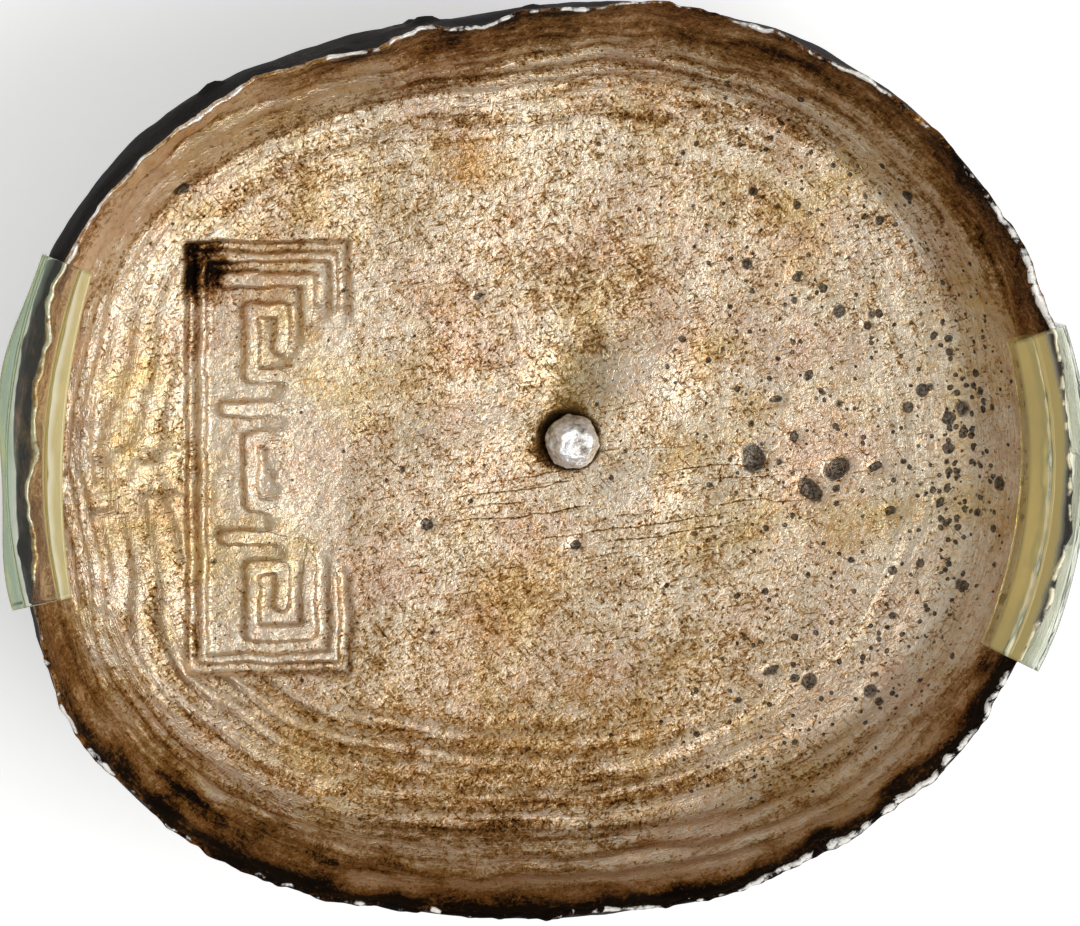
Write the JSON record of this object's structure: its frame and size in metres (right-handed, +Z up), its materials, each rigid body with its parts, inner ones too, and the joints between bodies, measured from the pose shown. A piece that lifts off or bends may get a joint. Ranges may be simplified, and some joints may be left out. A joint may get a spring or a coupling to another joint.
{
  "type": "silver ingot",
  "caption": "Oval cast silver ingot: a thick dish with a rippled floor, thin ragged rim, struck panel and bright bead, gripped at its ends by clear clips that lift off.",
  "frame": {"origin": "middle of the flat base that the ingot stands on", "axes": "+X along the long side, away from the struck panel; +Z up, out of the open dish"},
  "size_m": [0.0681, 0.0574, 0.026],
  "materials": {
    "toned_silver": "cast silver, toned tan and brown",
    "bright_silver": "bare hammered silver",
    "clear_plastic": "clear moulded plastic, slightly yellowed"
  },
  "bodies": {
    "ingot": {"ingot_body": "toned_silver", "centre_bead": "bright_silver"},
    "left_clip": {"left_clip": "clear_plastic"},
    "right_clip": {"right_clip": "clear_plastic"}
  },
  "joints": [
    {"name": "left_clip_lift", "type": "slide", "parent": "ingot", "child": "left_clip", "axis": [0, 0, 1], "range_m": [0, 0.008]},
    {"name": "right_clip_lift", "type": "slide", "parent": "ingot", "child": "right_clip", "axis": [0, 0, 1], "range_m": [0, 0.008]}
  ]
}
